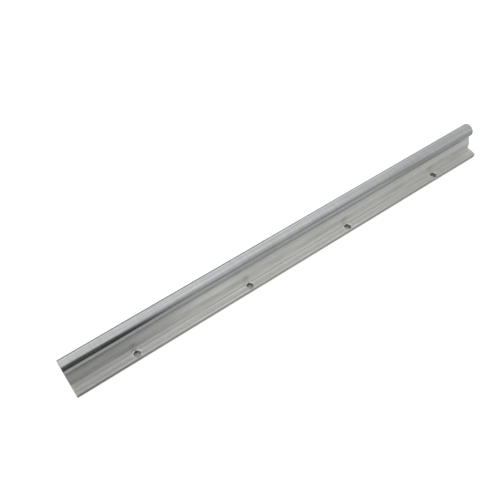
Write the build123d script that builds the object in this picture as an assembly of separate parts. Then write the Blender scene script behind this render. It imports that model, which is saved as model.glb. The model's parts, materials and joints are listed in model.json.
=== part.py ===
from build123d import *
import math
import os

# A round shaft carried along its whole length by an extruded aluminium support.
# Millimetres. The origin is the middle of the face that stands on the floor, +X runs
# along the rail and +Z is up. A side's sign is -1 for -Y and +1 for +Y.

# Rail and its stations
rail_length = 400.0
station_pitch = 100.0

# Shaft
shaft_diameter = 12.0
shaft_axis_height = 20.0
shaft_end_chamfer = 0.3

# Support's section
base_width = 32.0
base_edge_round = 0.8
flange_edge_thickness = 3.0
flange_edge_round = 0.4
flange_bevel_width = 2.8
flange_bevel_drop = 0.9
flange_fall = 0.2
foot_fillet = 0.6
web_flare = 0.6
shoulder_width = 2.6
shoulder_drop = 5.1
shoulder_round = 3.0
neck_drop = 1.0
neck_fillet = 2.0
cradle_half_angle = 42.0
cradle_gap = 0.02

# V line along each flange that marks where its holes are drilled
guide_line_width = 0.8
guide_line_depth = 0.2

# Relief along the underside, so that the support stands on two lands
relief_width = 12.0
relief_depth = 0.5
relief_fillet = 0.3

# Mounting holes in the flanges
mount_hole_edge_distance = 3.5
mount_hole_diameter = 5.5
mount_hole_chamfer = 0.35

# Socket head screws that hold the shaft from below
screw_diameter = 4.0
screw_length = 12.0
screw_head_diameter = 7.0
screw_head_height = 4.0
screw_head_chamfer = 0.4
screw_tip_chamfer = 0.5
key_width = 3.0
key_depth = 2.0
thread_engagement = 6.0
thread_gap = 0.05
thread_runout = 1.5
drill_point_angle = 118.0
shank_clearance = 0.25
head_clearance = 0.5
counterbore_chamfer = 0.4

# Heights, and distances from the middle, that follow from the sizes above
shaft_radius = shaft_diameter / 2
cradle_radius = shaft_radius + cradle_gap
shaft_bottom = shaft_axis_height - shaft_radius
screw_tip_height = shaft_bottom + thread_engagement
screw_seat_height = screw_tip_height - screw_length
flange_edge = base_width / 2
bevel_line = flange_edge - flange_bevel_width
bevel_height = flange_edge_thickness + flange_bevel_drop
flange_root_thickness = bevel_height + flange_fall
mount_hole_line = flange_edge - mount_hole_edge_distance
lip_line = cradle_radius * math.sin(math.radians(cradle_half_angle))
lip_height = shaft_axis_height - cradle_radius * math.cos(math.radians(cradle_half_angle))
neck_height = lip_height - neck_drop
shoulder_line = lip_line + shoulder_width
shoulder_height = neck_height - shoulder_drop
foot_line = shoulder_line + web_flare
station_count = max(1, int(rail_length // station_pitch))
stations = [(i - (station_count - 1) / 2) * station_pitch for i in range(station_count)]


def flange_top(y):
    """Height of the flange's upper face, inside its bevel, at a distance y from the middle."""
    return flange_root_thickness - flange_fall * (y - foot_line) / (bevel_line - foot_line)


def corner(sketch, place):
    """The corner of a flat outline that lies nearest to a given place."""
    return min(sketch.vertices(), key=lambda v: math.hypot(v.X - place[0], v.Y - place[1]))


def support_section():
    """The +Y half of the extrusion's section and its mirror image, as one face."""
    half_turn = math.radians(cradle_half_angle / 2)
    cradle_middle = (
        cradle_radius * math.sin(half_turn),
        shaft_axis_height - cradle_radius * math.cos(half_turn),
    )
    cradle_bottom = (0, shaft_axis_height - cradle_radius)
    lip = (lip_line, lip_height)
    neck = (lip_line, neck_height)
    shoulder = (shoulder_line, shoulder_height)
    foot = (foot_line, flange_root_thickness)
    bevel = (bevel_line, bevel_height)
    top_edge = (flange_edge, flange_edge_thickness)
    base_edge = (flange_edge, 0)
    relief_edge = (relief_width / 2, 0)
    relief_corner = (relief_width / 2, relief_depth)
    relief_middle = (0, relief_depth)
    with BuildSketch() as section:
        with BuildLine():
            Polyline(
                cradle_bottom,
                relief_middle,
                relief_corner,
                relief_edge,
                base_edge,
                top_edge,
                bevel,
                foot,
                shoulder,
                neck,
                lip,
            )
            ThreePointArc(lip, cradle_middle, cradle_bottom)
        make_face()
        fillet(corner(section, foot), foot_fillet)
        fillet(corner(section, shoulder), shoulder_round)
        fillet(corner(section, neck), neck_fillet)
        fillet(corner(section, relief_corner), relief_fillet)
        fillet(corner(section, base_edge), base_edge_round)
        fillet(corner(section, top_edge), flange_edge_round)
        mirror(about=Plane.YZ)
    return Plane.YZ * section.sketch


def along_rail(outline):
    """A closed outline in the YZ plane, drawn out over the rail's length."""
    face = Plane.YZ * make_face(Polyline(*outline, close=True))
    return extrude(face, rail_length / 2, both=True)


def guide_line():
    """Cutter for the V line along the +Y flange."""
    middle = mount_hole_line
    inner = middle - guide_line_width / 2
    outer = middle + guide_line_width / 2
    return along_rail(
        [
            (inner, flange_top(inner)),
            (middle, flange_top(middle) - guide_line_depth),
            (outer, flange_top(outer)),
            (outer, flange_root_thickness),
            (inner, flange_root_thickness),
        ]
    )


def mounting_hole():
    """Cutter for a flange hole with a chamfered mouth, standing on the floor at Z = 0."""
    radius = mount_hole_diameter / 2
    mouth = flange_top(mount_hole_line)
    above = flange_root_thickness + mount_hole_chamfer
    outline = Polyline(
        (0, 0),
        (radius, 0),
        (radius, mouth - mount_hole_chamfer),
        (radius + above - mouth + mount_hole_chamfer, above),
        (0, above),
        close=True,
    )
    return revolve(Plane.XZ * make_face(outline), Axis.Z)


def screw_pocket():
    """Cutter for a counterbore from below and the clearance hole up to the cradle."""
    head_radius = screw_head_diameter / 2 + head_clearance
    shank_radius = screw_diameter / 2 + shank_clearance
    outline = Polyline(
        (0, 0),
        (head_radius + relief_depth + counterbore_chamfer, 0),
        (head_radius, relief_depth + counterbore_chamfer),
        (head_radius, screw_seat_height),
        (shank_radius, screw_seat_height),
        (shank_radius, shaft_axis_height),
        (0, shaft_axis_height),
        close=True,
    )
    return revolve(Plane.XZ * make_face(outline), Axis.Z)


def support_rail():
    """The extrusion, with its guide lines, mounting holes and screw pockets."""
    body = extrude(support_section(), rail_length / 2, both=True)
    line = guide_line()
    cutters = [line, line.mirror(Plane.XZ)]
    hole = mounting_hole()
    pocket = screw_pocket()
    for x in stations:
        cutters.append(Pos(x, 0, 0) * pocket)
        for side in (-1, 1):
            cutters.append(Pos(x, side * mount_hole_line, 0) * hole)
    return body - cutters


def round_shaft():
    """The ground shaft, chamfered at both ends, with a blind tapped hole at each station."""
    shaft = Rot(0, 90, 0) * Cylinder(shaft_radius, rail_length)
    shaft = chamfer(shaft.edges().filter_by(GeomType.CIRCLE), shaft_end_chamfer)
    shaft = Pos(0, 0, shaft_axis_height) * shaft
    hole_radius = screw_diameter / 2 + thread_gap
    hole_top = screw_tip_height + thread_runout
    hole_depth = hole_top - shaft_bottom + shaft_radius
    align = (Align.CENTER, Align.CENTER, Align.MAX)
    hole = Pos(0, 0, hole_top) * Cylinder(hole_radius, hole_depth, align=align)
    point_height = hole_radius / math.tan(math.radians(drill_point_angle / 2))
    align = (Align.CENTER, Align.CENTER, Align.MIN)
    drilled = hole + Pos(0, 0, hole_top) * Cone(hole_radius, 0, point_height, align=align)
    return shaft - [Pos(x, 0, 0) * drilled for x in stations]


def shaft_screw():
    """A socket head cap screw, head down, with its seat at the counterbore's floor."""
    head_radius = screw_head_diameter / 2
    shank_radius = screw_diameter / 2
    head_bottom = screw_seat_height - screw_head_height
    outline = Polyline(
        (0, head_bottom),
        (head_radius - screw_head_chamfer, head_bottom),
        (head_radius, head_bottom + screw_head_chamfer),
        (head_radius, screw_seat_height),
        (shank_radius, screw_seat_height),
        (shank_radius, screw_tip_height - screw_tip_chamfer),
        (shank_radius - screw_tip_chamfer, screw_tip_height),
        (0, screw_tip_height),
        close=True,
    )
    screw = revolve(Plane.XZ * make_face(outline), Axis.Z)
    key = Plane((0, 0, head_bottom)) * RegularPolygon(key_width / 2, 6, major_radius=False)
    return screw - extrude(key, key_depth)


os.makedirs("parts", exist_ok=True)
export_step(support_rail(), "parts/support_rail.step")
export_step(round_shaft(), "parts/round_shaft.step")
screw = shaft_screw()
for number, x in enumerate(stations, 1):
    export_step(Pos(x, 0, 0) * screw, f"parts/shaft_screw_{number}.step")
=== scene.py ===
import bpy
import bmesh
import json
import math
from mathutils import Matrix, Vector

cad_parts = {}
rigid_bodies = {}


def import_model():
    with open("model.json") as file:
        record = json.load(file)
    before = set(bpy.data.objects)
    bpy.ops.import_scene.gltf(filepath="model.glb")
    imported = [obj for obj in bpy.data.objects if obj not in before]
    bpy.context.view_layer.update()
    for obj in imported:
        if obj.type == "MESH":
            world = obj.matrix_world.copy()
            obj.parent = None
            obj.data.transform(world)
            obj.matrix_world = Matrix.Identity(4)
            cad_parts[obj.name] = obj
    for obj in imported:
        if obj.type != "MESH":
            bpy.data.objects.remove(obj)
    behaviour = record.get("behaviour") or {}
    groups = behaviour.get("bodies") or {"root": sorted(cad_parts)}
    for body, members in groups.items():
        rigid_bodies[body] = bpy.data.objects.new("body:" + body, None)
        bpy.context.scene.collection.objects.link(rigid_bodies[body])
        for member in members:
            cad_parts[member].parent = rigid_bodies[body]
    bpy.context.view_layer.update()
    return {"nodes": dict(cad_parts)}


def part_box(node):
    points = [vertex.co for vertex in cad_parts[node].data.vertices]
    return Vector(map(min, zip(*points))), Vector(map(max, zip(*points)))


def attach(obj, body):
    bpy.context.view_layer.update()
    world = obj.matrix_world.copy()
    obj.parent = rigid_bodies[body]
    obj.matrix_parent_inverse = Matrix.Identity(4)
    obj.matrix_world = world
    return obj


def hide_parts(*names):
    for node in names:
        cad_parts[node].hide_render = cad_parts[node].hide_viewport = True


for leftover in list(bpy.data.objects):
    bpy.data.objects.remove(leftover)

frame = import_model()
mm = 0.001
noiseLow, noiseMiddle, noiseHigh = 0.3, 0.5, 0.7   # where most of a noise's values lie
smooth = {"interpolation_type": "SMOOTHSTEP"}
print("frame loaded:", ", ".join(sorted(frame["nodes"])))


# sRGB hex to the linear RGBA that sockets take
def linear(hexColour):
    channels = [int(hexColour[i:i + 2], 16) / 255 for i in (1, 3, 5)]
    return [c / 12.92 if c <= 0.04045 else ((c + 0.055) / 1.055) ** 2.4 for c in channels] + [1.0]


# adds a node; an input is a plain value, or a socket to link from.
# A Mix node takes its two numbers in inputs 2 and 3 and its two colours in 6 and 7.
def addNode(tree, kind, options=None, inputs=None):
    node = tree.nodes.new("ShaderNode" + kind)
    for name, value in (options or {}).items():
        setattr(node, name, value)
    for socket, value in (inputs or {}).items():
        if isinstance(value, bpy.types.NodeSocket):
            tree.links.new(value, node.inputs[socket])
        else:
            node.inputs[socket].default_value = value
    return node


def newMaterial(name):
    material = bpy.data.materials.new(name)
    material.use_nodes = True
    material.node_tree.nodes.clear()
    return material, material.node_tree


# camera
cameraValues = {
    "place": (-0.1982, -0.2030, 0.3794),
    "forward": (0.3167, 0.4637, -0.8274),
    "up": (0.4801, 0.6740, 0.5615),
    "lens": 41.63,
    "sensor": 36.0,
    "shift": (0.0394, 0.0417),     # the picture is cut off centre from a larger one
    "nearest": 0.01,
}

cameraData = bpy.data.cameras.new("camera")
cameraData.lens = cameraValues["lens"]
cameraData.sensor_width = cameraValues["sensor"]
cameraData.shift_x, cameraData.shift_y = cameraValues["shift"]
cameraData.clip_start = cameraValues["nearest"]
camera = bpy.data.objects.new("camera", cameraData)
bpy.context.scene.collection.objects.link(camera)
back = -Vector(cameraValues["forward"]).normalized()
right = Vector(cameraValues["up"]).cross(back).normalized()
turned = Matrix((right, back.cross(right), back)).transposed().to_4x4()
camera.matrix_world = Matrix.Translation(cameraValues["place"]) @ turned
bpy.context.scene.camera = camera
print("camera set")


# studio: a pale tent, brightest overhead and behind, dimmer towards its open side,
# where a dark camera stand is mirrored in the shaft
studioValues = {
    "tent": 1.24,
    "front": 0.70,
    "frontDirection": (-0.1, -1.0, 0.1),
    "frontStart": 0.22,            # cosine of the angle at which the tent starts to dim
    "sideLoss": 0.30,              # share lost towards +X
    "sideRange": (0.3, 0.8),       # X of the directions where that loss starts and is full
    "stand": 0.0,
    "standPlace": (-0.02, -1.0, 0.33),
    "standSize": (0.21, 1.2, 0.64),
    "rim": 0.13,                   # the table's far side, low behind
    "rimPlace": (0.0, 1.0, 0.0),
    "rimSize": (0.75, 0.8, 0.12),
    "shadeEdge": (1.15, 0.85),     # soft edge of the stand and the table, in shares of their size
    "tentMirrored": 0.1,           # share of the plain white wall that metal shows
    "floor": "#d0d0cf",
    "floorGlow": 0.6,
    "floorGlowMirrored": 0.13,
    "floorGlowEdge": 0.5,          # from the rail's outline to where the paper glows in full
    "floorDrop": 0.02,
    "floorSize": 12.0,
}

world = bpy.data.worlds.new("studio")
world.use_nodes = True
tree = world.node_tree
tree.nodes.clear()
direction = addNode(tree, "TexCoord").outputs["Generated"]
towards = Vector(studioValues["frontDirection"]).normalized()
facing = addNode(tree, "VectorMath", {"operation": "DOT_PRODUCT"}, {0: direction, 1: towards})
tent = addNode(tree, "MapRange", smooth, {
    "Value": facing.outputs["Value"], "From Min": studioValues["frontStart"], "From Max": 1.0,
    "To Min": studioValues["tent"], "To Max": studioValues["front"],
})
side = addNode(tree, "SeparateXYZ", None, {"Vector": direction})
side = addNode(tree, "MapRange", smooth, {
    "Value": side.outputs["X"],
    "From Min": studioValues["sideRange"][0], "From Max": studioValues["sideRange"][1],
    "To Min": 1.0, "To Max": 1.0 - studioValues["sideLoss"],
})
tent = addNode(tree, "Math", {"operation": "MULTIPLY"}, {
    0: tent.outputs["Result"], 1: side.outputs["Result"],
})
for name in ("stand", "rim"):
    shade = addNode(tree, "Mapping", {"vector_type": "TEXTURE"}, {
        "Vector": direction,
        "Location": studioValues[name + "Place"], "Scale": studioValues[name + "Size"],
    })
    shade = addNode(tree, "VectorMath", {"operation": "LENGTH"}, {0: shade.outputs[0]})
    shade = addNode(tree, "MapRange", smooth, {
        "Value": shade.outputs["Value"],
        "From Min": studioValues["shadeEdge"][0], "From Max": studioValues["shadeEdge"][1],
    })
    tent = addNode(tree, "Mix", {"data_type": "FLOAT"}, {
        "Factor": shade.outputs["Result"], 2: tent.outputs[0], 3: studioValues[name],
    })

# seen directly or through glass, the tent's wall is plain white
rays = addNode(tree, "LightPath").outputs
seen = addNode(tree, "Math", {"operation": "MAXIMUM"}, {
    0: rays["Is Camera Ray"], 1: rays["Is Transmission Ray"],
})
seen = addNode(tree, "Math", {"operation": "MULTIPLY_ADD"}, {
    0: rays["Is Glossy Ray"], 1: studioValues["tentMirrored"], 2: seen.outputs[0],
})
tent = addNode(tree, "Mix", {"data_type": "FLOAT"}, {
    "Factor": seen.outputs[0], 2: tent.outputs[0], 3: 1.0,
})
background = addNode(tree, "Background", None, {
    "Color": linear("#ffffff"), "Strength": tent.outputs[0],
})
addNode(tree, "OutputWorld", None, {"Surface": background.outputs[0]})
bpy.context.scene.world = world

# matt white paper sweep; the glow keeps it white, the diffuse part keeps the shadow
material, tree = newMaterial("whitePaper")
rays = addNode(tree, "LightPath").outputs
mirrored = addNode(tree, "Math", {"operation": "MAXIMUM"}, {
    0: rays["Is Glossy Ray"], 1: rays["Is Transmission Ray"],
})
mirrored = addNode(tree, "Math", {"operation": "MULTIPLY"}, {
    0: mirrored.outputs[0], 1: studioValues["floorGlowMirrored"],
})
glow = addNode(tree, "Math", {"operation": "MULTIPLY_ADD"}, {
    0: rays["Is Camera Ray"], 1: studioValues["floorGlow"], 2: mirrored.outputs[0],
})
at = addNode(tree, "SeparateXYZ", None, {"Vector": addNode(tree, "TexCoord").outputs["Object"]})
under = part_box("support_rail")[1]                 # no glow on the paper that the rail covers
beyond = []
for axis in (0, 1):
    away = addNode(tree, "Math", {"operation": "ABSOLUTE"}, {0: at.outputs[axis]})
    away = addNode(tree, "MapRange", None, {
        "Value": away.outputs[0],
        "From Min": under[axis], "From Max": under[axis] + studioValues["floorGlowEdge"] * mm,
    })
    beyond.append(away.outputs[0])
clear = addNode(tree, "Math", {"operation": "MAXIMUM"}, {0: beyond[0], 1: beyond[1]})
glow = addNode(tree, "Math", {"operation": "MULTIPLY"}, {0: glow.outputs[0], 1: clear.outputs[0]})
paper = addNode(tree, "BsdfDiffuse", None, {"Color": linear(studioValues["floor"])})
shine = addNode(tree, "Emission", None, {"Color": linear("#ffffff"), "Strength": glow.outputs[0]})
both = addNode(tree, "AddShader", None, {0: paper.outputs[0], 1: shine.outputs[0]})
addNode(tree, "OutputMaterial", None, {"Surface": both.outputs[0]})

shape = bmesh.new()
bmesh.ops.create_grid(shape, x_segments=1, y_segments=1, size=studioValues["floorSize"] / 2)
bmesh.ops.translate(shape, verts=shape.verts, vec=(0, 0, -studioValues["floorDrop"] * mm))
floorMesh = bpy.data.meshes.new("floor")
shape.to_mesh(floorMesh)
shape.free()
floorMesh.materials.append(material)
floor = bpy.data.objects.new("floor", floorMesh)
bpy.context.scene.collection.objects.link(floor)
print("studio set")


# support: aluminium extrusion in mill finish, as it left the die, sawn and drilled.
# To the eye: soft grey metal, fine lines along its length, dull rubs, brighter where it was cut.
supportValues = {
    # colours
    "dark": "#cfd0cd",
    "light": "#f6f6f2",
    "cut": "#e2e2de",
    "paintedBoreShade": "#aea9a0",             # painted shade inside the holes, a darker warm grey

    # sizes that the marks and shades are placed by
    "pitch": 100.0,
    "holeLine": 12.5,
    "holeEdge": 3.1,               # outer radius of a hole's chamfer
    "holeBlur": 0.1,
    "rimLine": 13.2,
    "rimBlur": 0.3,
    "edgeHeight": 2.6,
    "edgeBlur": 0.5,
    "neckHeight": 13.2,
    "neckBlur": 1.0,

    # which faces a shade is on: the part of their direction along one axis,
    # where the shade starts and where it is full
    "sawnFacing": (0.8, 0.9),
    "steepFacing": (0.4, 0.7),
    "slopedFacing": (0.6, 0.8),    # the slope and the upright faces
    "uprightFacing": (0.93, 0.98),
    "paintedBoreShadeFacing": (0.3, 0.2),

    # painted shade: share of the light that each face keeps, less on the faces that get less light
    "web": 0.84,
    "slope": 0.91,
    "neck": 0.72,                  # painted shade right under the shaft
    "edge": 0.54,                  # painted shade on the low outer edges, the darkest
    "rim": 0.88,                   # painted shade on the flange's outer rim

    # share of the light lost or won in places, and where in X it starts and is full
    "far": 0.06,                   # lost by the web and the neck towards the +X end
    "farReach": (-100.0, 200.0),
    "farLevel": 0.11,              # lost by the flanges towards the +X end
    "farLevelReach": (40.0, 200.0),
    "paintedEndShade": 0.09,               # painted shade on the slope and the web near the -X end
    "paintedEndShadeReach": (-125.0, -165.0),
    "paintedSlopeHighlight": 0.14,                 # painted highlight on the slope
    "paintedSlopeHighlightMiddle": -82.0,
    "paintedSlopeHighlightHalfLength": 42.0,
    "paintedHoleReflection": 0.35,                 # painted reflection of each hole, a dark mottled patch on the web beside it
    "paintedHoleReflectionHeight": 7.0,
    "paintedHoleReflectionSize": 5.0,

    # die lines, real ones are 0.1 to 0.3 mm, drawn coarser to show
    "lineWidth": 0.7,
    "lineLength": 260.0,
    "fineLineWidth": 0.5,
    "fineLinesShorter": 3.0,       # times shorter than the coarse ones
    "fineGain": 0.7,
    "lineGain": 2.4,
    "webLines": 0.35,              # how much of the lines shows on the web
    "dieAndGrooveLines": (                  # distance from the middle, gain; 11.3 and 13.7 are a painted highlight and painted shade beside the groove on the hole line
        (8.1, 0.5), (9.7, -0.25), (11.3, 0.7), (13.7, -0.3), (14.9, 0.5),
    ),
    "dieAndGrooveLineWidth": 0.5,
    "lineDepth": 0.012,

    # dull rubs, and short pick-up marks from the die
    "rubSize": 6.0,
    "rubStretch": 5.0,             # times longer along the rail
    "rubShift": 1.7,
    "rubGain": 2.0,
    "toneShift": -0.4,
    "markLength": 7.0,
    "markWidth": 0.7,
    "markRange": (0.66, 0.76),     # only the noise's highest values make a mark
    "markLoss": 0.25,

    # strokes of the saw on the ends
    "sawSpacing": 0.45,
    "sawStretch": 40.0,
    "sawAngle": 12.0,
    "sawDepth": 0.03,

    # metal that the drill pushed up beside each hole, set towards the web; its ring is relief, its
    # brightness on top a painted highlight
    "burrPlace": (-0.1, -0.9),
    "burrWidth": 0.8,
    "burrHeight": 0.2,
    "burrPaintedHighlight": 0.8,
    "burrSmoother": 0.2,
    "burrAnisotropy": 0.3,

    # brighter edges
    "edgeWidth": 0.5,
    "edgeTurn": (0.98, 0.88),      # cosine of the turn where the wear starts and is full
    "edgeWear": 0.2,

    "roughness": 0.48,
    "roughnessSpread": (0.06, 0.10),   # below and above
    "anisotropy": 1.0,
}


def extrudedAluminium(values):
    material, tree = newMaterial("extrudedMillAluminium")
    coordinates = addNode(tree, "TexCoord").outputs
    place = coordinates["Object"]
    at = addNode(tree, "SeparateXYZ", None, {"Vector": place}).outputs
    normal = addNode(tree, "SeparateXYZ", None, {"Vector": coordinates["Normal"]}).outputs

    # lines, rubs and marks, all drawn out along the rail
    along = 1 / (values["lineLength"] * mm)
    wide = 1 / (values["lineWidth"] * mm)
    fine = 1 / (values["fineLineWidth"] * mm)
    rub = 1 / (values["rubSize"] * mm)
    mark = 1 / (values["markWidth"] * mm)
    lines = addNode(tree, "Mapping", None, {"Vector": place, "Scale": (along, wide, wide)})
    lines = addNode(tree, "TexNoise", None, {
        "Vector": lines.outputs[0], "Scale": 1.0, "Detail": 3.0, "Roughness": 0.6,
    })
    hair = addNode(tree, "Mapping", None, {
        "Vector": place, "Scale": (values["fineLinesShorter"] * along, fine, fine),
    })
    hair = addNode(tree, "TexNoise", None, {
        "Vector": hair.outputs[0], "Scale": 1.0, "Detail": 2.0, "Roughness": 0.5,
    })
    rubs = addNode(tree, "Mapping", None, {
        "Vector": place, "Location": (values["rubShift"], 0, 0),
        "Scale": (rub / values["rubStretch"], rub, rub),
    })
    rubs = addNode(tree, "TexNoise", None, {
        "Vector": rubs.outputs[0], "Scale": 1.0, "Detail": 4.0, "Roughness": 0.62,
    })
    marks = addNode(tree, "Mapping", None, {
        "Vector": place, "Scale": (1 / (values["markLength"] * mm), mark, mark),
    })
    marks = addNode(tree, "TexNoise", None, {
        "Vector": marks.outputs[0], "Scale": 1.0, "Detail": 1.0,
    })
    marks = addNode(tree, "MapRange", None, {
        "Value": marks.outputs[0],
        "From Min": values["markRange"][0], "From Max": values["markRange"][1],
    })

    # where the saw and the drill have been; X and Y in mm from the nearest hole
    sawn = addNode(tree, "Math", {"operation": "ABSOLUTE"}, {0: normal["X"]})
    sawn = addNode(tree, "MapRange", None, {
        "Value": sawn.outputs[0],
        "From Min": values["sawnFacing"][0], "From Max": values["sawnFacing"][1],
    })
    holeX = addNode(tree, "Math", {"operation": "MULTIPLY"}, {
        0: at["X"], 1: 1 / (values["pitch"] * mm),
    })
    holeX = addNode(tree, "Math", {"operation": "FRACT"}, {0: holeX.outputs[0]})
    holeX = addNode(tree, "Math", {"operation": "SUBTRACT"}, {0: holeX.outputs[0], 1: 0.5})
    holeX = addNode(tree, "Math", {"operation": "MULTIPLY"}, {
        0: holeX.outputs[0], 1: values["pitch"],
    })
    away = addNode(tree, "Math", {"operation": "ABSOLUTE"}, {0: at["Y"]})
    away = addNode(tree, "Math", {"operation": "MULTIPLY"}, {0: away.outputs[0], 1: 1 / mm})
    holeY = addNode(tree, "Math", {"operation": "SUBTRACT"}, {
        0: away.outputs[0], 1: values["holeLine"],
    })
    fromHole = addNode(tree, "CombineXYZ", None, {"X": holeX.outputs[0], "Y": holeY.outputs[0]})
    drilled = addNode(tree, "VectorMath", {"operation": "LENGTH"}, {0: fromHole.outputs[0]})
    drilled = addNode(tree, "MapRange", None, {
        "Value": drilled.outputs["Value"],
        "From Min": values["holeEdge"] + values["holeBlur"],
        "From Max": values["holeEdge"] - values["holeBlur"],
    })
    burr = addNode(tree, "VectorMath", {"operation": "SUBTRACT"}, {
        0: fromHole.outputs[0], 1: (*values["burrPlace"], 0),
    })
    burr = addNode(tree, "VectorMath", {"operation": "LENGTH"}, {0: burr.outputs[0]})
    burr = addNode(tree, "MapRange", smooth, {
        "Value": burr.outputs["Value"],
        "From Min": values["holeEdge"] + values["burrWidth"], "From Max": values["holeEdge"],
    })
    cut = addNode(tree, "Math", {"operation": "MAXIMUM"}, {
        0: sawn.outputs[0], 1: drilled.outputs[0],
    })

    # tone, from dark to light: lines, rubs, lines of the die with the painted light and shade
    # beside the groove, marks, and a painted highlight on the burrs
    steep = addNode(tree, "Math", {"operation": "ABSOLUTE"}, {0: normal["Y"]})
    shown = addNode(tree, "MapRange", None, {
        "Value": steep.outputs[0],
        "From Min": values["steepFacing"][0], "From Max": values["steepFacing"][1],
        "To Min": 1.0, "To Max": values["webLines"],
    })
    tone = addNode(tree, "Math", {"operation": "SUBTRACT"}, {0: lines.outputs[0], 1: noiseMiddle})
    tone = addNode(tree, "Math", {"operation": "MULTIPLY_ADD"}, {
        0: hair.outputs[0], 1: values["fineGain"], 2: tone.outputs[0],
    })
    tone = addNode(tree, "Math", {"operation": "SUBTRACT"}, {
        0: tone.outputs[0], 1: values["fineGain"] * noiseMiddle,
    })
    tone = addNode(tree, "Math", {"operation": "MULTIPLY"}, {
        0: tone.outputs[0], 1: values["lineGain"],
    })
    tone = addNode(tree, "Math", {"operation": "MULTIPLY_ADD"}, {
        0: tone.outputs[0], 1: shown.outputs[0], 2: values["toneShift"],
    })
    tone = addNode(tree, "Math", {"operation": "MULTIPLY_ADD"}, {
        0: rubs.outputs[0], 1: values["rubGain"], 2: tone.outputs[0],
    })
    for distance, gain in values["dieAndGrooveLines"]:
        line = addNode(tree, "Math", {"operation": "SUBTRACT"}, {0: away.outputs[0], 1: distance})
        line = addNode(tree, "Math", {"operation": "ABSOLUTE"}, {0: line.outputs[0]})
        line = addNode(tree, "MapRange", None, {
            "Value": line.outputs[0], "From Min": 0.0, "From Max": values["dieAndGrooveLineWidth"],
            "To Min": gain, "To Max": 0.0,
        })
        tone = addNode(tree, "Math", {"operation": "ADD"}, {0: tone.outputs[0], 1: line.outputs[0]})
    tone = addNode(tree, "Math", {"operation": "MULTIPLY_ADD"}, {
        0: marks.outputs[0], 1: -values["markLoss"], 2: tone.outputs[0],
    })
    tone = addNode(tree, "Math", {"operation": "MULTIPLY_ADD"}, {
        0: burr.outputs[0], 1: values["burrPaintedHighlight"], 2: tone.outputs[0],
    })

    # colour by that tone, then cut metal, painted shade on the holes' walls, and brighter edges
    colour = addNode(tree, "Mix", {"data_type": "RGBA"}, {
        "Factor": tone.outputs[0], 6: linear(values["dark"]), 7: linear(values["light"]),
    })
    colour = addNode(tree, "Mix", {"data_type": "RGBA"}, {
        "Factor": cut.outputs[0], 6: colour.outputs[2], 7: linear(values["cut"]),
    })
    wall = addNode(tree, "Math", {"operation": "ABSOLUTE"}, {0: normal["Z"]})
    wall = addNode(tree, "MapRange", None, {
        "Value": wall.outputs[0],
        "From Min": values["paintedBoreShadeFacing"][0], "From Max": values["paintedBoreShadeFacing"][1],
    })
    wall = addNode(tree, "Math", {"operation": "MULTIPLY"}, {
        0: wall.outputs[0], 1: drilled.outputs[0],
    })
    colour = addNode(tree, "Mix", {"data_type": "RGBA"}, {
        "Factor": wall.outputs[0], 6: colour.outputs[2], 7: linear(values["paintedBoreShade"]),
    })
    rounded = addNode(tree, "Bevel", {"samples": 4}, {"Radius": values["edgeWidth"] * mm})
    geometry = addNode(tree, "NewGeometry").outputs
    edge = addNode(tree, "VectorMath", {"operation": "DOT_PRODUCT"}, {
        0: rounded.outputs[0], 1: geometry["Normal"],
    })
    edge = addNode(tree, "MapRange", None, {
        "Value": edge.outputs["Value"],
        "From Min": values["edgeTurn"][0], "From Max": values["edgeTurn"][1],
        "To Max": values["edgeWear"],
    })
    colour = addNode(tree, "Mix", {"data_type": "RGBA"}, {
        "Factor": edge.outputs[0], 6: colour.outputs[2], 7: linear(values["cut"]),
    })

    # painted shade on the level faces: darker on the flange's outer rim and towards the +X end
    level = addNode(tree, "MapRange", None, {
        "Value": away.outputs[0],
        "From Min": values["rimLine"] - values["rimBlur"],
        "From Max": values["rimLine"] + values["rimBlur"],
        "To Min": 1.0, "To Max": values["rim"],
    })
    farLevelLoss = addNode(tree, "MapRange", None, {
        "Value": at["X"],
        "From Min": values["farLevelReach"][0] * mm, "From Max": values["farLevelReach"][1] * mm,
        "To Max": values["farLevel"],
    })
    level = addNode(tree, "Math", {"operation": "SUBTRACT"}, {
        0: level.outputs[0], 1: farLevelLoss.outputs[0],
    })

    # painted shade on the upright ones: outer edge, web and the neck under the shaft, one above the
    # other; then darker towards the +X end
    keep = addNode(tree, "MapRange", None, {
        "Value": at["Z"],
        "From Min": values["edgeHeight"] * mm,
        "From Max": (values["edgeHeight"] + values["edgeBlur"]) * mm,
        "To Min": values["edge"], "To Max": values["web"],
    })
    neck = addNode(tree, "MapRange", None, {
        "Value": at["Z"],
        "From Min": values["neckHeight"] * mm,
        "From Max": (values["neckHeight"] + values["neckBlur"]) * mm,
    })
    keep = addNode(tree, "Mix", {"data_type": "FLOAT"}, {
        "Factor": neck.outputs[0], 2: keep.outputs[0], 3: values["neck"],
    })
    far = addNode(tree, "MapRange", None, {
        "Value": at["X"],
        "From Min": values["farReach"][0] * mm, "From Max": values["farReach"][1] * mm,
        "To Max": values["far"],
    })
    keep = addNode(tree, "Math", {"operation": "SUBTRACT"}, {0: keep.outputs[0], 1: far.outputs[0]})

    # the slope lies between the two
    upright = addNode(tree, "MapRange", None, {
        "Value": steep.outputs[0],
        "From Min": values["uprightFacing"][0], "From Max": values["uprightFacing"][1],
    })
    sloped = addNode(tree, "MapRange", None, {
        "Value": steep.outputs[0],
        "From Min": values["slopedFacing"][0], "From Max": values["slopedFacing"][1],
    })
    level = addNode(tree, "Mix", {"data_type": "FLOAT"}, {
        "Factor": sloped.outputs[0], 2: level.outputs[0], 3: values["slope"],
    })
    keep = addNode(tree, "Mix", {"data_type": "FLOAT"}, {
        "Factor": upright.outputs[0], 2: level.outputs[0], 3: keep.outputs[0],
    })
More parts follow.
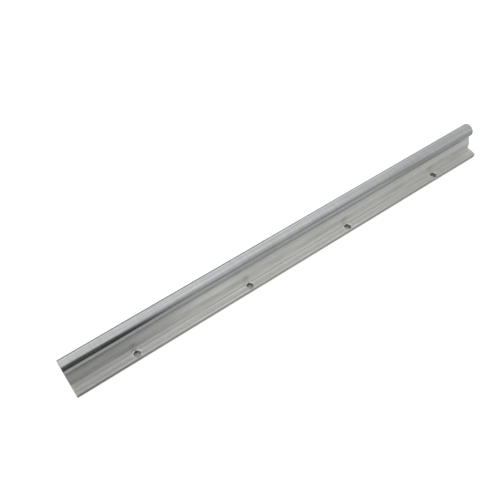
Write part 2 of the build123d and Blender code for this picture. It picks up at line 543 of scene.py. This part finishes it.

    # painted highlight on the slope, painted reflection of each hole on the web beside it, painted
    # shade near the -X end
    paintedSlopeHighlight = addNode(tree, "Math", {"operation": "SUBTRACT"}, {
        0: at["X"], 1: values["paintedSlopeHighlightMiddle"] * mm,
    })
    paintedSlopeHighlight = addNode(tree, "Math", {"operation": "ABSOLUTE"}, {0: paintedSlopeHighlight.outputs[0]})
    paintedSlopeHighlight = addNode(tree, "MapRange", smooth, {
        "Value": paintedSlopeHighlight.outputs[0], "From Min": values["paintedSlopeHighlightHalfLength"] * mm, "From Max": 0.0,
        "To Max": values["paintedSlopeHighlight"],
    })
    paintedSlopeHighlight = addNode(tree, "Math", {"operation": "MULTIPLY"}, {
        0: paintedSlopeHighlight.outputs[0], 1: sloped.outputs[0],
    })
    leaning = addNode(tree, "MapRange", None, {
        "Value": upright.outputs[0], "To Min": 1.0, "To Max": 0.0,
    })
    keep = addNode(tree, "Math", {"operation": "MULTIPLY_ADD"}, {
        0: paintedSlopeHighlight.outputs[0], 1: leaning.outputs[0], 2: keep.outputs[0],
    })
    height = addNode(tree, "Math", {"operation": "MULTIPLY_ADD"}, {
        0: at["Z"], 1: 1 / mm, 2: -values["paintedHoleReflectionHeight"],
    })
    paintedHoleReflection = addNode(tree, "CombineXYZ", None, {"X": holeX.outputs[0], "Y": height.outputs[0]})
    paintedHoleReflection = addNode(tree, "VectorMath", {"operation": "LENGTH"}, {0: paintedHoleReflection.outputs[0]})
    paintedHoleReflection = addNode(tree, "MapRange", smooth, {
        "Value": paintedHoleReflection.outputs["Value"], "From Min": values["paintedHoleReflectionSize"], "From Max": 0.0,
        "To Max": values["paintedHoleReflection"],
    })
    paintedHoleReflection = addNode(tree, "Math", {"operation": "MULTIPLY"}, {
        0: paintedHoleReflection.outputs[0], 1: rubs.outputs[0],
    })
    keep = addNode(tree, "Math", {"operation": "SUBTRACT"}, {
        0: keep.outputs[0], 1: paintedHoleReflection.outputs[0],
    })
    paintedEndShade = addNode(tree, "MapRange", smooth, {
        "Value": at["X"],
        "From Min": values["paintedEndShadeReach"][0] * mm, "From Max": values["paintedEndShadeReach"][1] * mm,
        "To Max": values["paintedEndShade"],
    })
    paintedEndShade = addNode(tree, "Math", {"operation": "MULTIPLY"}, {
        0: paintedEndShade.outputs[0], 1: sloped.outputs[0],
    })
    keep = addNode(tree, "Math", {"operation": "SUBTRACT"}, {
        0: keep.outputs[0], 1: paintedEndShade.outputs[0],
    })
    colour = addNode(tree, "VectorMath", {"operation": "SCALE"}, {
        0: colour.outputs[2], "Scale": keep.outputs[0],
    })

    # rougher in the rubs, smoother and less brushed on the burrs
    roughness = addNode(tree, "MapRange", None, {
        "Value": rubs.outputs[0], "From Min": noiseLow, "From Max": noiseHigh,
        "To Min": values["roughness"] - values["roughnessSpread"][0],
        "To Max": values["roughness"] + values["roughnessSpread"][1],
    })
    roughness = addNode(tree, "Math", {"operation": "MULTIPLY_ADD"}, {
        0: burr.outputs[0], 1: -values["burrSmoother"], 2: roughness.outputs[0],
    })
    brushed = addNode(tree, "MapRange", None, {
        "Value": burr.outputs[0],
        "To Min": values["anisotropy"], "To Max": values["burrAnisotropy"],
    })

    # relief: lines along the rail, burrs, and the saw's slanted strokes on the ends
    stroke = 1 / (values["sawSpacing"] * mm)
    strokes = addNode(tree, "Mapping", None, {
        "Vector": place, "Rotation": (math.radians(values["sawAngle"]), 0, 0),
        "Scale": (stroke, stroke / values["sawStretch"], stroke),
    })
    strokes = addNode(tree, "TexNoise", None, {
        "Vector": strokes.outputs[0], "Scale": 1.0, "Detail": 1.0,
    })
    relief = addNode(tree, "Math", {"operation": "ADD"}, {0: lines.outputs[0], 1: hair.outputs[0]})
    uncut = addNode(tree, "Math", {"operation": "SUBTRACT"}, {0: 1.0, 1: cut.outputs[0]})
    relief = addNode(tree, "Math", {"operation": "MULTIPLY"}, {
        0: relief.outputs[0], 1: uncut.outputs[0],
    })
    bump = addNode(tree, "Bump", None, {
        "Height": relief.outputs[0], "Distance": values["lineDepth"] * mm, "Strength": 1.0,
    })
    bump = addNode(tree, "Bump", None, {
        "Height": burr.outputs[0], "Distance": values["burrHeight"] * mm, "Strength": 1.0,
        "Normal": bump.outputs[0],
    })
    sawRelief = addNode(tree, "Math", {"operation": "MULTIPLY"}, {
        0: strokes.outputs[0], 1: sawn.outputs[0],
    })
    bump = addNode(tree, "Bump", None, {
        "Height": sawRelief.outputs[0], "Distance": values["sawDepth"] * mm, "Strength": 1.0,
        "Normal": bump.outputs[0],
    })
    tangent = addNode(tree, "Tangent", {"direction_type": "RADIAL", "axis": "X"})
    surface = addNode(tree, "BsdfPrincipled", None, {
        "Base Color": colour.outputs[0],
        "Metallic": 1.0,
        "Roughness": roughness.outputs[0],
        "Anisotropic": brushed.outputs[0],
        "Tangent": tangent.outputs[0],
        "Normal": bump.outputs[0],
    })
    addNode(tree, "OutputMaterial", None, {"Surface": surface.outputs[0]})
    return material


support = frame["nodes"]["support_rail"]
aluminium = extrudedAluminium(supportValues)
for slot in support.material_slots:
    slot.material = aluminium
print("support finished")


# shaft: chromium steel, induction hardened, ground between wheels and superfinished.
# To the eye: a clear cool reflection, faintly banded round its girth, with a thin oil film.
shaftValues = {
    "steel": "#b0b2b3",
    "film": "#a0a2a3",
    "end": "#9a9b9c",
    "roughness": 0.13,
    "filmRoughness": 0.10,         # added where the oil film is thick
    "endRoughness": 0.15,          # added on the turned ends
    "anisotropy": 0.35,
    "brushedRound": 0.25,          # a quarter turn, since the grinding runs round the girth
    "toneShift": -1.3,

    # grinding bands, real marks are 0.02 mm, drawn coarser to show
    "bandWidth": 2.2,
    "bandStretch": 20.0,           # times longer round the girth
    "bandGain": 0.9,
    "fineBandWidth": 0.25,
    "fineBandStretch": 30.0,
    "bandDepth": 0.0015,

    # oil film, and wipe marks in it
    "filmSize": 11.0,
    "filmStretch": 6.0,            # times longer along the shaft
    "filmNarrower": 3.0,           # times narrower round it
    "filmRange": (0.4, 0.68),      # noise values where the film starts and is thick
    "filmGain": 0.5,
    "streakWidth": 0.7,
    "streakLength": 90.0,
    "streakGain": 2.2,

    # painted dark reflection, in lines along the shaft: share lost, height, half the width, where
    # they end in X, fade
    "darkReflectionLines": ((0.30, 23.65, 0.8, 110, 40), (0.60, 22.95, 0.9, -130, 30)),

    # painted highlights and dark reflections, in lines along the shaft: Y, gain, middle in X, half
    # the length
    "reflectionLines": (
        (2.3, 0.28, -50, 170), (3.9, -0.35, -120, 110), (-1.7, 0.15, -35, 80),
        (-4.0, 0.18, 185, 60), (-5.7, -0.25, 190, 80),
    ),
    "reflectionLineWidth": 1.2,
    "reflectionLineFade": 30,

    # turned ends
    "endFacing": (0.4, 0.6),       # X of a face's direction where the turning starts and is full
    "axisHeight": 20.0,
    "turnSpacing": 0.35,
    "turnDepth": 0.02,
    "turnStrength": 0.6,
}


def groundSteel(values):
    material, tree = newMaterial("groundHardenedSteel")
    coordinates = addNode(tree, "TexCoord").outputs
    place = coordinates["Object"]
    at = addNode(tree, "SeparateXYZ", None, {"Vector": place}).outputs
    normal = addNode(tree, "SeparateXYZ", None, {"Vector": coordinates["Normal"]}).outputs

    # bands, oil film and wipe marks
    band = 1 / (values["bandWidth"] * mm)
    bandRound = band / values["bandStretch"]
    bands = addNode(tree, "Mapping", None, {"Vector": place, "Scale": (band, bandRound, bandRound)})
    bands = addNode(tree, "TexNoise", None, {
        "Vector": bands.outputs[0], "Scale": 1.0, "Detail": 2.0,
    })
    fine = 1 / (values["fineBandWidth"] * mm)
    fineRound = fine / values["fineBandStretch"]
    hair = addNode(tree, "Mapping", None, {"Vector": place, "Scale": (fine, fineRound, fineRound)})
    hair = addNode(tree, "TexNoise", None, {
        "Vector": hair.outputs[0], "Scale": 1.0, "Detail": 1.0,
    })
    film = 1 / (values["filmSize"] * mm)
    filmRound = values["filmNarrower"] * film
    films = addNode(tree, "Mapping", None, {
        "Vector": place, "Scale": (film / values["filmStretch"], filmRound, filmRound),
    })
    films = addNode(tree, "TexNoise", None, {
        "Vector": films.outputs[0], "Scale": 1.0, "Detail": 4.0, "Roughness": 0.6,
    })
    films = addNode(tree, "MapRange", smooth, {
        "Value": films.outputs[0],
        "From Min": values["filmRange"][0], "From Max": values["filmRange"][1],
    })
    streak = 1 / (values["streakWidth"] * mm)
    streaks = addNode(tree, "Mapping", None, {
        "Vector": place, "Scale": (1 / (values["streakLength"] * mm), streak, streak),
    })
    streaks = addNode(tree, "TexNoise", None, {
        "Vector": streaks.outputs[0], "Scale": 1.0, "Detail": 2.0,
    })
    turned = addNode(tree, "Math", {"operation": "ABSOLUTE"}, {0: normal["X"]})
    turned = addNode(tree, "MapRange", None, {
        "Value": turned.outputs[0],
        "From Min": values["endFacing"][0], "From Max": values["endFacing"][1],
    })

    # colour: bare steel to oil film, then the ends
    tone = addNode(tree, "Math", {"operation": "MULTIPLY_ADD"}, {
        0: bands.outputs[0], 1: values["bandGain"], 2: values["toneShift"],
    })
    tone = addNode(tree, "Math", {"operation": "MULTIPLY_ADD"}, {
        0: films.outputs[0], 1: values["filmGain"], 2: tone.outputs[0],
    })
    tone = addNode(tree, "Math", {"operation": "MULTIPLY_ADD"}, {
        0: streaks.outputs[0], 1: values["streakGain"], 2: tone.outputs[0],
    })
    colour = addNode(tree, "Mix", {"data_type": "RGBA"}, {
        "Factor": tone.outputs[0], 6: linear(values["steel"]), 7: linear(values["film"]),
    })
    colour = addNode(tree, "Mix", {"data_type": "RGBA"}, {
        "Factor": turned.outputs[0], 6: colour.outputs[2], 7: linear(values["end"]),
    })

    # light kept: less in the lines of painted dark reflection, more or less in the lines of painted
    # highlight and reflection
    kept = 1.0
    for lost, height, width, end, fade in values["darkReflectionLines"]:
        line = addNode(tree, "Math", {"operation": "SUBTRACT"}, {0: at["Z"], 1: height * mm})
        line = addNode(tree, "Math", {"operation": "ABSOLUTE"}, {0: line.outputs[0]})
        line = addNode(tree, "MapRange", smooth, {
            "Value": line.outputs[0], "From Min": 0.0, "From Max": width * mm,
            "To Min": -lost, "To Max": 0.0,
        })
        reach = addNode(tree, "MapRange", smooth, {
            "Value": at["X"], "From Min": (end + fade) * mm, "From Max": (end - fade) * mm,
        })
        line = addNode(tree, "Math", {"operation": "MULTIPLY_ADD"}, {
            0: line.outputs[0], 1: reach.outputs[0], 2: kept,
        })
        kept = line.outputs[0]
    for across, gain, middle, half in values["reflectionLines"]:
        reflectionLine = addNode(tree, "Math", {"operation": "SUBTRACT"}, {0: at["Y"], 1: across * mm})
        reflectionLine = addNode(tree, "Math", {"operation": "ABSOLUTE"}, {0: reflectionLine.outputs[0]})
        reflectionLine = addNode(tree, "MapRange", smooth, {
            "Value": reflectionLine.outputs[0], "From Min": 0.0, "From Max": values["reflectionLineWidth"] * mm,
            "To Min": gain, "To Max": 0.0,
        })
        reach = addNode(tree, "Math", {"operation": "SUBTRACT"}, {0: at["X"], 1: middle * mm})
        reach = addNode(tree, "Math", {"operation": "ABSOLUTE"}, {0: reach.outputs[0]})
        reach = addNode(tree, "MapRange", smooth, {
            "Value": reach.outputs[0],
            "From Min": (half + values["reflectionLineFade"]) * mm,
            "From Max": (half - values["reflectionLineFade"]) * mm,
        })
        reflectionLine = addNode(tree, "Math", {"operation": "MULTIPLY_ADD"}, {
            0: reflectionLine.outputs[0], 1: reach.outputs[0], 2: kept,
        })
        kept = reflectionLine.outputs[0]
    colour = addNode(tree, "VectorMath", {"operation": "SCALE"}, {
        0: colour.outputs[2], "Scale": kept,
    })
    roughness = addNode(tree, "Math", {"operation": "MULTIPLY_ADD"}, {
        0: films.outputs[0], 1: values["filmRoughness"], 2: values["roughness"],
    })
    roughness = addNode(tree, "Math", {"operation": "MULTIPLY_ADD"}, {
        0: turned.outputs[0], 1: values["endRoughness"], 2: roughness.outputs[0],
    })

    # relief: bands, and rings on the ends about the shaft's axis
    centred = addNode(tree, "Mapping", None, {
        "Vector": place, "Location": (0, 0, -values["axisHeight"] * mm), "Scale": (0, 1, 1),
    })
    ring = addNode(tree, "VectorMath", {"operation": "LENGTH"}, {0: centred.outputs[0]})
    ring = addNode(tree, "Math", {"operation": "MULTIPLY"}, {
        0: ring.outputs["Value"], 1: 2 * math.pi / (values["turnSpacing"] * mm),
    })
    ring = addNode(tree, "Math", {"operation": "SINE"}, {0: ring.outputs[0]})
    ring = addNode(tree, "Math", {"operation": "MULTIPLY"}, {
        0: ring.outputs[0], 1: turned.outputs[0],
    })
    relief = addNode(tree, "Math", {"operation": "ADD"}, {0: bands.outputs[0], 1: hair.outputs[0]})
    bump = addNode(tree, "Bump", None, {
        "Height": relief.outputs[0], "Distance": values["bandDepth"] * mm, "Strength": 1.0,
    })
    bump = addNode(tree, "Bump", None, {
        "Height": ring.outputs[0], "Distance": values["turnDepth"] * mm,
        "Strength": values["turnStrength"], "Normal": bump.outputs[0],
    })
    tangent = addNode(tree, "Tangent", {"direction_type": "RADIAL", "axis": "X"})
    surface = addNode(tree, "BsdfPrincipled", None, {
        "Base Color": colour.outputs[0],
        "Metallic": 1.0,
        "Roughness": roughness.outputs[0],
        "Anisotropic": values["anisotropy"],
        "Anisotropic Rotation": values["brushedRound"],
        "Tangent": tangent.outputs[0],
        "Normal": bump.outputs[0],
    })
    addNode(tree, "OutputMaterial", None, {"Surface": surface.outputs[0]})
    return material


shaft = frame["nodes"]["round_shaft"]
steel = groundSteel(shaftValues)
for slot in shaft.material_slots:
    slot.material = steel
print("shaft finished")


# shaft screws: socket head cap screws, cold headed, thread rolled, black oxide finish.
# To the eye: almost black, satin, a little brown where the oxide is thin on edges and knurls.
screwValues = {
    "headDiameter": 7.0,
    "headHeight": 4.0,
    "headChamfer": 0.4,
    "rimChamfer": 0.2,             # at the head's seat
    "count": 4,
    "knurls": 32,
    "knurlDepth": 0.14,
    "keyWidth": 3.0,
    "keyDepth": 2.0,
    "keyMouth": 0.15,
    "keyPoint": 0.25,              # height of the cone at the socket's bottom
    "keyPointShare": 0.05,         # its tip's size, as a share of the socket's
    "shankDiameter": 4.0,
    "length": 12.0,
    "seatHeight": 8.0,             # from the floor to the underside of the head
    "tipChamfer": 0.5,
    "tipInset": 0.3,
    "threadPitch": 0.7,
    "threadDepth": 0.34,
    "threadFoot": 0.05,            # how deep the ridge is set into the core
    "threadCrestGap": 0.02,        # keeps the crest inside the shank's size
    "threadSection": (0.40, 0.52, 0.92),   # crest's two edges and far foot, in shares of the pitch
    "threadEnd": 0.6,              # from the tip to where the last turn may end
    "stepsPerTurn": 24,
    "mergeDistance": 0.001,
    "sharpAngle": 28,

    "oxide": "#202124",
    "thin": "#4a4541",
    "grain": 0.35,                 # crystal grain is under 0.01 mm, drawn coarser to show
    "grainDepth": 0.01,
    "grainGain": 0.2,
    "patchSize": 8,                # in grains
    "patchGain": 0.5,
    "toneShift": -0.2,
    "edgeWidth": 0.12,
    "edgeTurn": (0.97, 0.8),       # cosine of the turn where the wear starts and is full
    "edgeWear": 0.7,
    "roughness": 0.42,
    "roughnessSpread": 0.08,
}


def blackOxideSteel(values):
    material, tree = newMaterial("blackOxideSteel")
    place = addNode(tree, "TexCoord").outputs["Object"]
    grain = 1 / (values["grain"] * mm)
    speckle = addNode(tree, "TexNoise", None, {
        "Vector": place, "Scale": grain, "Detail": 3.0, "Roughness": 0.6,
    })
    patch = addNode(tree, "TexNoise", None, {
        "Vector": place, "Scale": grain / values["patchSize"], "Detail": 2.0,
    })
    rounded = addNode(tree, "Bevel", {"samples": 4}, {"Radius": values["edgeWidth"] * mm})
    geometry = addNode(tree, "NewGeometry").outputs
    edge = addNode(tree, "VectorMath", {"operation": "DOT_PRODUCT"}, {
        0: rounded.outputs[0], 1: geometry["Normal"],
    })
    edge = addNode(tree, "MapRange", None, {
        "Value": edge.outputs["Value"],
        "From Min": values["edgeTurn"][0], "From Max": values["edgeTurn"][1],
        "To Max": values["edgeWear"],
    })
    tone = addNode(tree, "Math", {"operation": "MULTIPLY_ADD"}, {
        0: patch.outputs[0], 1: values["patchGain"], 2: values["toneShift"],
    })
    tone = addNode(tree, "Math", {"operation": "MULTIPLY_ADD"}, {
        0: speckle.outputs[0], 1: values["grainGain"], 2: tone.outputs[0],
    })
    tone = addNode(tree, "Math", {"operation": "ADD", "use_clamp": True}, {
        0: tone.outputs[0], 1: edge.outputs[0],
    })
    colour = addNode(tree, "Mix", {"data_type": "RGBA"}, {
        "Factor": tone.outputs[0], 6: linear(values["oxide"]), 7: linear(values["thin"]),
    })
    roughness = addNode(tree, "MapRange", None, {
        "Value": patch.outputs[0], "From Min": noiseLow, "From Max": noiseHigh,
        "To Min": values["roughness"] - values["roughnessSpread"],
        "To Max": values["roughness"] + values["roughnessSpread"],
    })
    bump = addNode(tree, "Bump", None, {
        "Height": speckle.outputs[0], "Distance": values["grainDepth"] * mm, "Strength": 1.0,
    })
    surface = addNode(tree, "BsdfPrincipled", None, {
        "Base Color": colour.outputs[2],
        "Metallic": 1.0,
        "Roughness": roughness.outputs[0],
        "Normal": bump.outputs[0],
    })
    addNode(tree, "OutputMaterial", None, {"Surface": surface.outputs[0]})
    return material


# head down, on the seat at the bottom of its counterbore
def makeScrew(name, values, centre):
    headRadius = values["headDiameter"] / 2
    shankRadius = values["shankDiameter"] / 2
    coreRadius = shankRadius - values["threadDepth"]
    headBottom = values["seatHeight"] - values["headHeight"]
    tip = values["seatHeight"] + values["length"]
    chamfer = values["headChamfer"]
    rim = values["rimChamfer"]
    around = 2 * values["knurls"]
    shape = bmesh.new()

    # draws a ring of edges out into the next one, and gives its vertices and edges
    def grow(edges, scale, rise):
        made = bmesh.ops.extrude_edge_only(shape, edges=edges)["geom"]
        verts = [item for item in made if isinstance(item, bmesh.types.BMVert)]
        bmesh.ops.scale(shape, verts=verts, vec=(scale, scale, 1))
        bmesh.ops.translate(shape, verts=verts, vec=(0, 0, rise))
        return verts, [item for item in made if isinstance(item, bmesh.types.BMEdge)]

    # knurled head, grown upwards from its bottom ring
    ring = bmesh.ops.create_circle(shape, segments=around, radius=headRadius - chamfer)["verts"]
    bmesh.ops.translate(shape, verts=ring, vec=(0, 0, headBottom))
    bottomEdges = list({edge for vert in ring for edge in vert.link_edges})
    wallBottom, edges = grow(bottomEdges, headRadius / (headRadius - chamfer), chamfer)
    wallTop, edges = grow(edges, 1.0, values["headHeight"] - chamfer - rim)
    knurlScale = 1 - values["knurlDepth"] / headRadius
    for loop in (wallBottom, wallTop):
        groove = [
            vert for vert in loop
            if round(math.atan2(vert.co.y, vert.co.x) / (2 * math.pi) * around) % 2
        ]
        bmesh.ops.scale(shape, verts=groove, vec=(knurlScale, knurlScale, 1))
    verts, edges = grow(edges, 1.0, rim)
    for vert in verts:                                # round the seat's rim again
        vert.co.xy = vert.co.xy.normalized() * (headRadius - rim)

    # core and tip
    verts, edges = grow(edges, coreRadius / (headRadius - rim), 0)
    verts, edges = grow(edges, 1.0, tip - values["seatHeight"] - values["tipChamfer"])
    tipScale = (coreRadius - values["tipInset"]) / coreRadius
    verts, edges = grow(edges, tipScale, values["tipChamfer"])
    bmesh.ops.edgeloop_fill(shape, edges=edges)

    # hexagon socket in the head's bottom, with a small chamfer at its mouth
    corner = values["keyWidth"] / 2 / math.cos(math.pi / 6)
    mouth = values["keyMouth"]
    key = bmesh.ops.create_circle(shape, segments=6, radius=corner + mouth)["verts"]
    bmesh.ops.translate(shape, verts=key, vec=(0, 0, headBottom))
    keyEdges = list({edge for vert in key for edge in vert.link_edges})
    bmesh.ops.bridge_loops(shape, edges=bottomEdges + keyEdges)
    verts, edges = grow(keyEdges, corner / (corner + mouth), mouth)
    verts, edges = grow(edges, 1.0, values["keyDepth"] - mouth - values["keyPoint"])
    verts, edges = grow(edges, values["keyPointShare"], values["keyPoint"])
    bmesh.ops.edgeloop_fill(shape, edges=edges)

    # rolled thread: a ridge of triangular section wound up the core
    pitch = values["threadPitch"]
    first = values["seatHeight"] + pitch
    foot = coreRadius - values["threadFoot"]
    crest = shankRadius - values["threadCrestGap"]
    crestStart, crestEnd, footEnd = values["threadSection"]
    ridge = [
        shape.verts.new((foot, 0, first)),
        shape.verts.new((crest, 0, first + crestStart * pitch)),
        shape.verts.new((crest, 0, first + crestEnd * pitch)),
        shape.verts.new((foot, 0, first + footEnd * pitch)),
    ]
    profile = [shape.edges.new((ridge[i], ridge[(i + 1) % 4])) for i in range(4)]
    turns = int((tip - values["threadEnd"] - first) / pitch) - 1
    made = bmesh.ops.spin(
        shape, geom=ridge + profile, cent=(0, 0, 0), axis=(0, 0, 1),
        dvec=(0, 0, pitch / values["stepsPerTurn"]), angle=turns * 2 * math.pi,
        steps=turns * values["stepsPerTurn"], use_duplicate=False,
    )
    bmesh.ops.edgeloop_fill(shape, edges=profile)
    last = [item for item in made["geom_last"] if isinstance(item, bmesh.types.BMEdge)]
    bmesh.ops.edgeloop_fill(shape, edges=last)

    bmesh.ops.remove_doubles(shape, verts=shape.verts, dist=values["mergeDistance"])
    bmesh.ops.recalc_face_normals(shape, faces=shape.faces)
    bmesh.ops.scale(shape, verts=shape.verts, vec=(mm, mm, mm))
    bmesh.ops.translate(shape, verts=shape.verts, vec=(centre, 0, 0))
    mesh = bpy.data.meshes.new(name)
    shape.to_mesh(mesh)
    shape.free()
    mesh.shade_smooth()
    mesh.set_sharp_from_angle(angle=math.radians(values["sharpAngle"]))
    piece = bpy.data.objects.new(name, mesh)
    bpy.context.scene.collection.objects.link(piece)
    return piece


oxide = blackOxideSteel(screwValues)
for number in range(1, screwValues["count"] + 1):
    node = "shaft_screw_" + str(number)
    low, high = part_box(node)
    screw = makeScrew("socket_screw_" + str(number), screwValues, (low[0] + high[0]) / 2)
    screw.data.materials.append(oxide)
    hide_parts(node)
    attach(screw, "root")
print("screws finished")


bpy.context.scene.view_settings.view_transform = "Standard"
